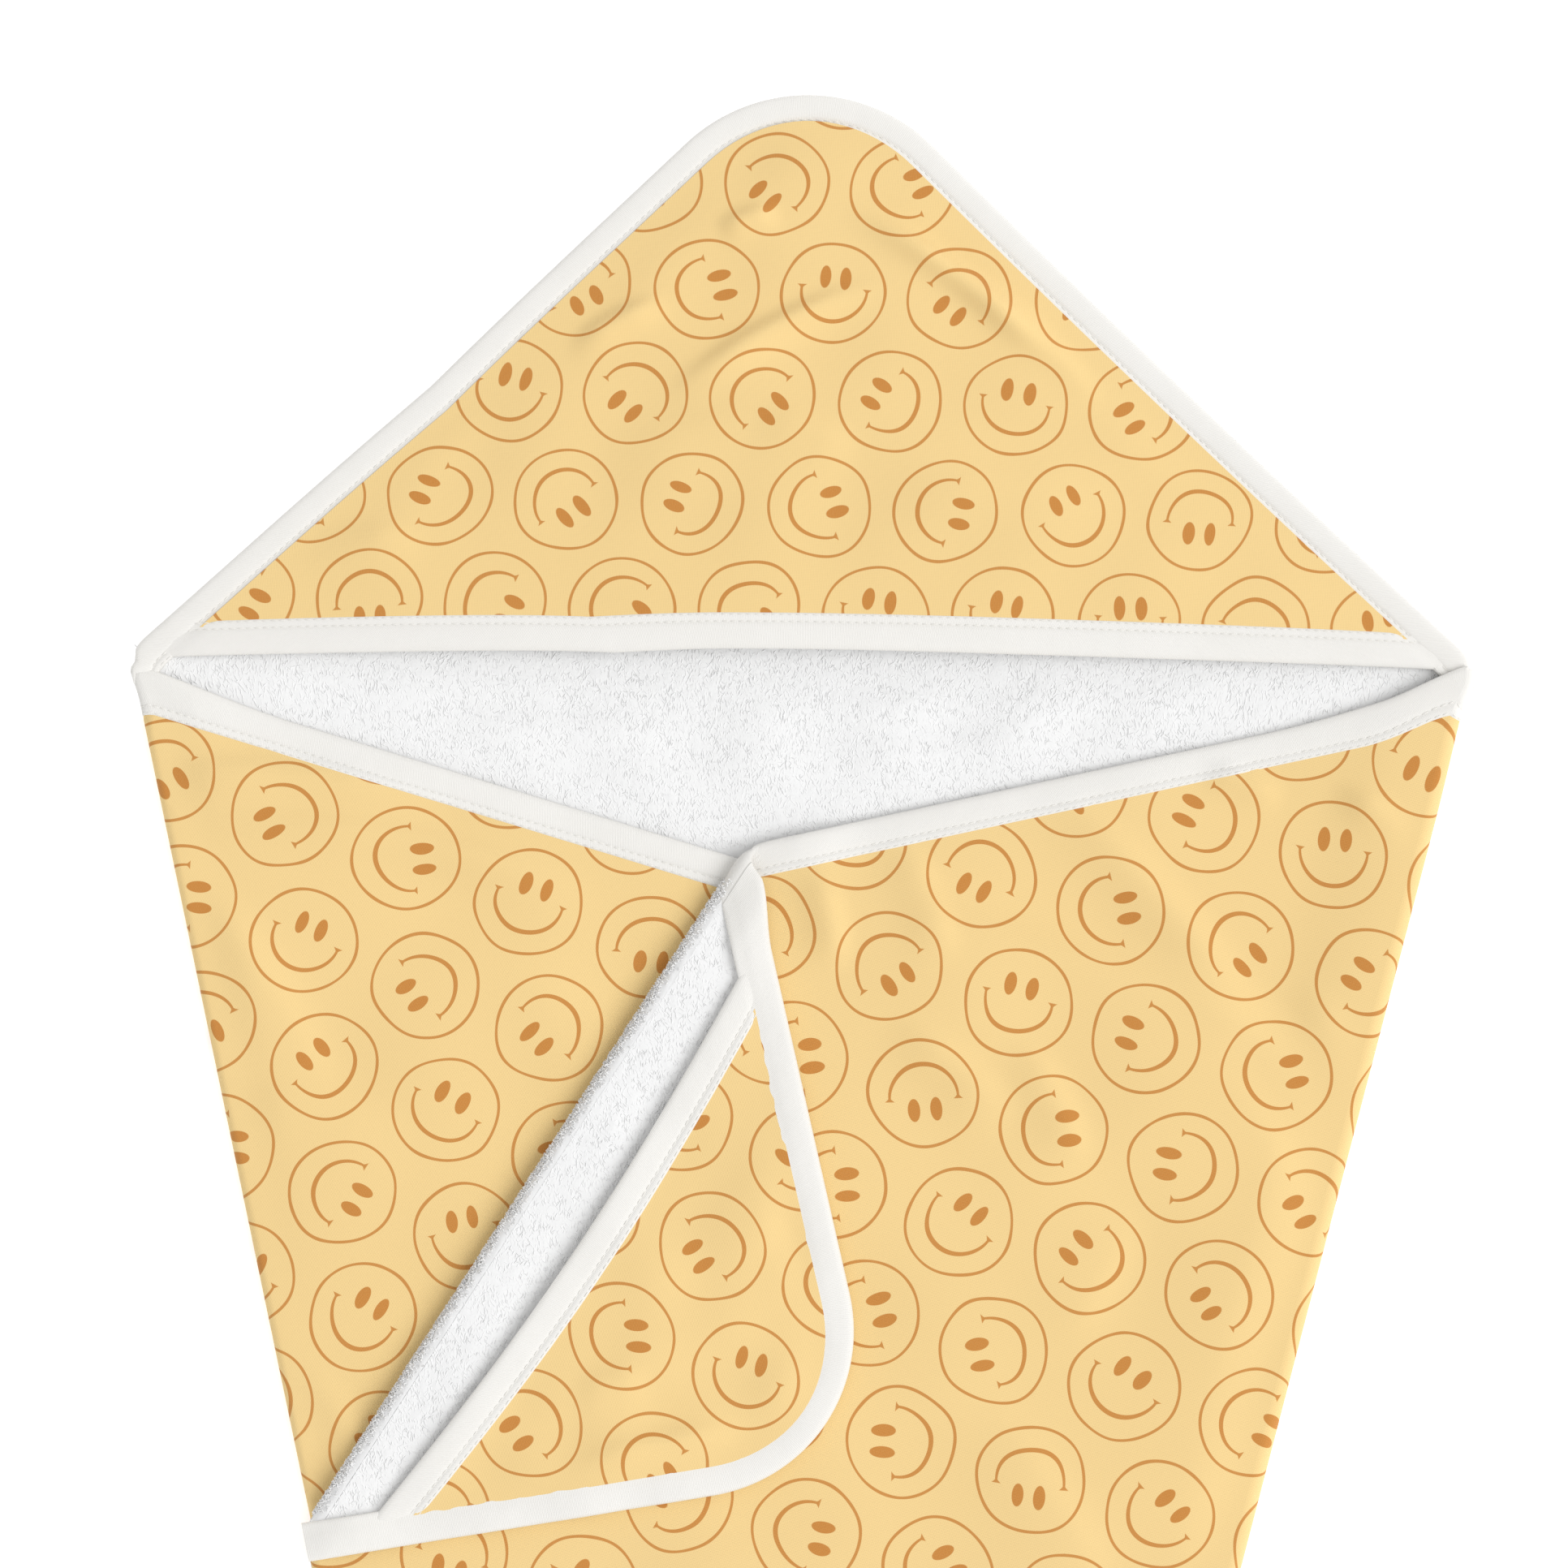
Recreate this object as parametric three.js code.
// Hooded baby towel, folded flat the way it is put on a shelf.
//
// A rounded square of two-ply cloth, printed jersey knit outside and terry inside, with a
// triangular hood sewn over one corner and a small hand pocket sewn over the corner beside it.
// The left wing is folded in, the right wing is folded over it, and the right wing's corner is
// turned back to show its terry side. All edges are bound with jersey tape.
//
// Millimetres. X runs across the towel, Y points to the hood, Z is up. The origin is under the
// middle of the folded towel, on the surface it lies on.

import * as THREE from 'three';

const { Vector2, Vector3 } = THREE;

// ---- Cloth and tape -------------------------------------------------------------------------

const KNIT = 0.7; // thickness of the printed jersey
const TERRY = 2.0; // thickness of the terry with its pile
const PLY_GAP = 0.3; // between the jersey and the terry of one layer
const LAYER_GAP = 0.5; // between one folded layer and the next
const SEAM_GAP = 0.3; // between a cut edge and the tape that binds it
const FOLD_GAP = 0.15; // from a fold line to the cloth on either side of it
const TAPE = 12.7; // finished width of the binding tape
const LAYER = KNIT + PLY_GAP + TERRY;

// ---- Outline of the folded towel ------------------------------------------------------------

const LENGTH = 1167; // hood to tail
const CORNER_RADIUS = 66; // rounding of the square's corners
const TAIL_RADIUS = 30; // rounding left at the narrow end, where the fold lines nearly meet
const HOOD_LEFT = new Vector2(-249.5, 367.5);
const HOOD_RIGHT = new Vector2(249.5, 361.5);
const HOOD_TIP = new Vector2(3.8, 610.3); // where the hood's two bound edges would cross
const LEFT_FOLD_ANGLE = 11.8; // degrees between a fold line and the centre line
const RIGHT_FOLD_ANGLE = 14.6;

const LEFT_WING_TOP = 480; // top edge of the left wing
const LEFT_WING_DROP = 17; // degrees its top edge slopes down
const LEFT_WING_TAIL = 23; // its lower edge starts this far above the tail
const TURN_TOP = new Vector2(-20, 303.5); // upper end of the turned-back corner's fold line
const TURN_SIDE = 13.8; // the turned-back corner's edge on the left side of the towel
const TURN_TIP = new Vector2(32.6, 72.2); // where the turned-back corner's edges would cross
const TURN_RADIUS = 62;
const TURN_BOTTOM_Y = 51.3; // where its fold line meets the left side of the towel

const SIDE_CLEARANCE = 0.35; // from the left fold line to the tape that hangs beside it
const SIDE_TAPE = 2.65; // thickness of that tape, doubled over the cloth's edge
const SIDE_DROP_GAP = 0.4; // from the tape down to the surface below

// ---- Flaps: the hood and the hand pocket ----------------------------------------------------

const HOOD_LOFT = 9; // how far the middle of the hood's free edge stands up
const HOOD_BOW = 12; // how far it is drawn back towards the tip
const POCKET_LEG = 206; // the pocket's reach along each of the corner's edges
const POCKET_LOFT = 6;
const POCKET_BOW = 6;

const ARC_STEPS = 12;
const HOOD_GRID = [24, 12];
const POCKET_GRID = [16, 8];
const TAPE_ROWS = 1;
const TIP_SHARE = 0.97; // a flap's last row stops just short of its tip

// ---- Heights of the layers ------------------------------------------------------------------

const LAYER_STEP = LAYER + LAYER_GAP;
const BACK_Z = 0;
const LEFT_WING_Z = BACK_Z + LAYER_STEP;
const HOOD_Z = BACK_Z + LAYER_STEP;
const RIGHT_WING_Z = LEFT_WING_Z + LAYER_STEP;
const CORNER_Z = RIGHT_WING_Z + LAYER_STEP;
const POCKET_Z = CORNER_Z + LAYER_STEP;

// ---- Materials ------------------------------------------------------------------------------

function cloth(color, roughness) {
  return new THREE.MeshStandardMaterial({ color, roughness, metalness: 0 });
}

const print = cloth(0xf6da9f, 0.85);
const terry = cloth(0xf4f4f3, 1.0);
const tape = cloth(0xf1efe9, 0.8);

// ---- Outlines -------------------------------------------------------------------------------

const radians = THREE.MathUtils.degToRad;

function corner(point, radius = 0) {
  return { point, radius };
}

/** The point at height y on the line that leaves start at slope degrees from straight down. */
function onFold(start, slope, y) {
  return new Vector2(start.x + Math.tan(radians(slope)) * (start.y - y), y);
}

/** The crossing of the lines through a along u and through b along v. */
function crossing(a, u, b, v) {
  const share = b.clone().sub(a).cross(v) / u.cross(v);
  return a.clone().addScaledVector(u, share);
}

/** Moves each edge of an anticlockwise outline inwards by its own distance. */
function inset(corners, distances) {
  const edges = corners.map(({ point }, i) => {
    const along = corners[(i + 1) % corners.length].point.clone().sub(point).normalize();
    const inward = new Vector2(-along.y, along.x);
    return { along, start: point.clone().addScaledVector(inward, distances[i]) };
  });
  return corners.map(({ radius }, i) => {
    const j = (i + corners.length - 1) % corners.length;
    const point = crossing(edges[j].start, edges[j].along, edges[i].start, edges[i].along);
    return corner(point, Math.max(radius - Math.max(distances[i], distances[j]), 0));
  });
}

/** The points of one corner: the corner itself, or the arc that rounds it. */
function rounded(before, { point, radius }, after) {
  if (radius === 0) return [point.clone()];
  const back = before.clone().sub(point).normalize();
  const on = after.clone().sub(point).normalize();
  const half = Math.acos(THREE.MathUtils.clamp(back.dot(on), -1, 1)) / 2;
  const middle = back.clone().add(on).normalize();
  const centre = point.clone().addScaledVector(middle, radius / Math.sin(half));
  const from = point.clone().addScaledVector(back, radius / Math.tan(half)).sub(centre);
  const turn = Math.PI - 2 * half;
  return Array.from({ length: ARC_STEPS + 1 }, (_, k) =>
    from.clone().rotateAround(new Vector2(), (turn * k) / ARC_STEPS).add(centre));
}

/** All the points of a closed outline, or of the open run from corner first to corner last. */
function run(corners, first = 0, last = corners.length - 1) {
  const count = corners.length;
  const points = [];
  for (let i = first; i <= last; i += 1) {
    const before = corners[(i + count - 1) % count].point;
    const after = corners[(i + 1) % count].point;
    points.push(...rounded(before, corners[i % count], after));
  }
  return points;
}

// ---- Solids ---------------------------------------------------------------------------------

const object = new THREE.Group();

function add(name, geometry, material) {
  const mesh = new THREE.Mesh(geometry, material);
  mesh.name = name;
  object.add(mesh);
}

/** A flat piece: an outline from bottom up to bottom + height. */
function slab(name, points, bottom, height, material) {
  const geometry = new THREE.ExtrudeGeometry(new THREE.Shape(points), {
    depth: height,
    bevelEnabled: false,
    curveSegments: 1,
  });
  geometry.translate(0, 0, bottom);
  add(name, geometry, material);
}

/** One layer of the folded towel: its jersey and terry inside the tape. */
function layer(name, corners, distances, bottom, knitUp) {
  const points = run(inset(corners, distances));
  const knitZ = knitUp ? bottom + TERRY + PLY_GAP : bottom;
  const terryZ = knitUp ? bottom : bottom + KNIT + PLY_GAP;
  slab(`${name}_knit`, points, knitZ, KNIT, print);
  slab(`${name}_terry`, points, terryZ, TERRY, terry);
}

/** Tape along the edges from corner first to corner last of an outline. */
function edgeTape(name, corners, free, first, last, bottom, height) {
  const outer = corners.map((_, i) => free[i] ?? 0);
  const inner = corners.map((_, i) => free[i] ?? TAPE);
  const points = [
    ...run(inset(corners, outer), first, last),
    ...run(inset(corners, inner), first, last).reverse(),
  ];
  slab(name, points, bottom, height, tape);
}

/** A closed sheet: point(u, v) gives its underside, and its top is thickness above that. */
function sheet(name, point, [columns, rows], thickness, material) {
  const positions = [];
  for (const lift of [0, thickness]) {
    for (let r = 0; r <= rows; r += 1) {
      for (let c = 0; c <= columns; c += 1) {
        const p = point(c / columns, r / rows);
        positions.push(p.x, p.y, p.z + lift);
      }
    }
  }
  const width = columns + 1;
  const side = width * (rows + 1);
  const faces = [];
  for (let r = 0; r < rows; r += 1) {
    for (let c = 0; c < columns; c += 1) {
      const a = r * width + c;
      const b = a + 1;
      const d = a + width;
      faces.push(a, d, b, b, d, d + 1);
      faces.push(a + side, b + side, d + side, b + side, d + 1 + side, d + side);
    }
  }
  const wall = (p, q) => faces.push(p, q, q + side, p, q + side, p + side);
  for (let c = 0; c < columns; c += 1) {
    wall(c, c + 1);
    wall(rows * width + c + 1, rows * width + c);
  }
  for (let r = 0; r < rows; r += 1) {
    wall((r + 1) * width, r * width);
    wall(r * width + columns, (r + 1) * width + columns);
  }
  const geometry = new THREE.BufferGeometry();
  geometry.setAttribute('position', new THREE.Float32BufferAttribute(positions, 3));
  geometry.setIndex(faces);
  geometry.computeVertexNormals();
  add(name, geometry, material);
}

/** The point a share of the way along a list of points, by length. */
function alongRun(points, share) {
  const lengths = points.map((p, i) => (i === 0 ? 0 : p.distanceTo(points[i - 1])));
  let left = share * lengths.reduce((sum, length) => sum + length, 0);
  for (let i = 1; i < points.length; i += 1) {
    if (left <= lengths[i]) return points[i - 1].clone().lerp(points[i], left / lengths[i]);
    left -= lengths[i];
  }
  return points[points.length - 1].clone();
}

/**
 * A triangular flap sewn over a corner, open along its base: corners are the two ends of the
 * base and the tip. Its two plies stand up and draw back most in the middle of the base.
 */
function flap(name, corners, bottom, loft, bow, grid) {
  const [start, end, tip] = corners.map(({ point }) => point);
  const back = tip.clone().sub(start.clone().lerp(end, 0.5)).normalize();
  const raised = (flat, z, u, v) => {
    const lift = Math.sin(Math.PI * u) * (1 - v);
    flat.addScaledVector(back, bow * lift);
    return new Vector3(flat.x, flat.y, z + loft * lift);
  };

  const cut = inset(corners, [TAPE + SEAM_GAP, TAPE + SEAM_GAP, TAPE + SEAM_GAP]);
  const legs = run(cut, 1, 3);
  const rightLeg = (v) => alongRun(legs, (TIP_SHARE * v) / 2);
  const leftLeg = (v) => alongRun(legs, 1 - (TIP_SHARE * v) / 2);
  const panel = (z) => (u, v) => raised(leftLeg(v).lerp(rightLeg(v), u), z, u, v);
  sheet(`${name}_terry`, panel(bottom), grid, TERRY, terry);
  sheet(`${name}_knit`, panel(bottom + TERRY + PLY_GAP), grid, KNIT, print);

  const edge = inset(corners, [0, TAPE + SEAM_GAP, TAPE + SEAM_GAP]);
  const seam = inset(corners, [TAPE, TAPE + SEAM_GAP, TAPE + SEAM_GAP]);
  const band = (u, v) => {
    const left = edge[0].point.clone().lerp(seam[0].point, v);
    const right = edge[1].point.clone().lerp(seam[1].point, v);
    return raised(left.lerp(right, u), bottom, u, 0);
  };
  sheet(`${name}_opening_tape`, band, [grid[0], TAPE_ROWS], LAYER, tape);
}

// ---- The folded towel -----------------------------------------------------------------------

const tailY = -LENGTH / 2;
const bound = TAPE + SEAM_GAP;

const body = [
  corner(HOOD_RIGHT),
  corner(HOOD_TIP, CORNER_RADIUS),
  corner(HOOD_LEFT),
  corner(onFold(HOOD_LEFT, LEFT_FOLD_ANGLE, tailY), TAIL_RADIUS),
  corner(onFold(HOOD_RIGHT, -RIGHT_FOLD_ANGLE, tailY), TAIL_RADIUS),
];
layer('back', body, [bound, bound, FOLD_GAP, bound, FOLD_GAP], BACK_Z, false);
edgeTape('tail_tape', body, { 2: FOLD_GAP, 4: FOLD_GAP }, 3, 4, BACK_Z, LAYER);

const hood = [corner(HOOD_LEFT), corner(HOOD_RIGHT), corner(HOOD_TIP, CORNER_RADIUS)];
edgeTape('hood_edge_tape', hood, { 0: FOLD_GAP }, 1, 3, BACK_Z, HOOD_Z + LAYER);
flap('hood', hood, HOOD_Z, HOOD_LOFT, HOOD_BOW, HOOD_GRID);

const leftWingTip = new Vector2(LEFT_WING_TOP, 0)
  .rotateAround(new Vector2(), radians(-LEFT_WING_DROP))
  .add(HOOD_LEFT);
const leftWing = [
  corner(HOOD_LEFT),
  corner(onFold(HOOD_LEFT, LEFT_FOLD_ANGLE, tailY + LEFT_WING_TAIL)),
  corner(leftWingTip, CORNER_RADIUS),
];
layer('left_wing', leftWing, [FOLD_GAP, bound, bound], LEFT_WING_Z, true);
edgeTape('left_wing_tape', leftWing, { 0: FOLD_GAP }, 1, 3, LEFT_WING_Z, LAYER);

// The right wing's lower edge hangs over the left fold, so the wing reaches past that line.
const sideEdge = SIDE_CLEARANCE + SIDE_TAPE;
const turnBottom = onFold(HOOD_LEFT, LEFT_FOLD_ANGLE, TURN_BOTTOM_Y);
const rightWing = [
  corner(HOOD_RIGHT),
  corner(TURN_TOP),
  corner(turnBottom),
  corner(onFold(HOOD_LEFT, LEFT_FOLD_ANGLE, tailY), TAIL_RADIUS),
  corner(onFold(HOOD_RIGHT, -RIGHT_FOLD_ANGLE, tailY), TAIL_RADIUS),
];
const wingFolds = { 1: FOLD_GAP, 2: -sideEdge, 4: FOLD_GAP };
layer('right_wing', rightWing, [bound, FOLD_GAP, -sideEdge, bound, FOLD_GAP], RIGHT_WING_Z, true);
edgeTape('right_wing_top_tape', rightWing, wingFolds, 0, 1, RIGHT_WING_Z, LAYER);
edgeTape('right_wing_tail_tape', rightWing, wingFolds, 3, 4, RIGHT_WING_Z, LAYER);

const sideTop = onFold(HOOD_LEFT, LEFT_FOLD_ANGLE, TURN_BOTTOM_Y - TURN_SIDE);
const sideEnd = onFold(HOOD_LEFT, LEFT_FOLD_ANGLE, tailY + TAIL_RADIUS);
const outward = new Vector2(-1, 0).rotateAround(new Vector2(), radians(LEFT_FOLD_ANGLE));
const sideTape = [
  sideEnd.clone().addScaledVector(outward, SIDE_CLEARANCE),
  sideTop.clone().addScaledVector(outward, SIDE_CLEARANCE),
  sideTop.clone().addScaledVector(outward, sideEdge),
  sideEnd.clone().addScaledVector(outward, sideEdge),
];
const sideHeight = RIGHT_WING_Z - SEAM_GAP - SIDE_DROP_GAP;
slab('right_wing_side_tape', sideTape, SIDE_DROP_GAP, sideHeight, tape);

const turned = [
  corner(TURN_TOP),
  corner(turnBottom),
  corner(sideTop),
  corner(TURN_TIP, TURN_RADIUS),
];
layer('corner', turned, [FOLD_GAP, FOLD_GAP, bound, bound], CORNER_Z, false);
edgeTape('corner_tape', turned, { 0: FOLD_GAP, 1: FOLD_GAP }, 2, 4, CORNER_Z, LAYER);

const reach = (end) => end.clone().sub(TURN_TIP).setLength(POCKET_LEG).add(TURN_TIP);
const pocket = [
  corner(reach(TURN_TOP)),
  corner(reach(sideTop)),
  corner(TURN_TIP, TURN_RADIUS),
];
flap('pocket', pocket, POCKET_Z, POCKET_LOFT, POCKET_BOW, POCKET_GRID);

// The corner's tape is thicker where it also laps the pocket's legs: this is that part of it.
const seamZ = CORNER_Z + LAYER + SEAM_GAP;
edgeTape('pocket_seam_tape', pocket, { 0: FOLD_GAP }, 1, 3, seamZ, POCKET_Z + LAYER - seamZ);

export default object;
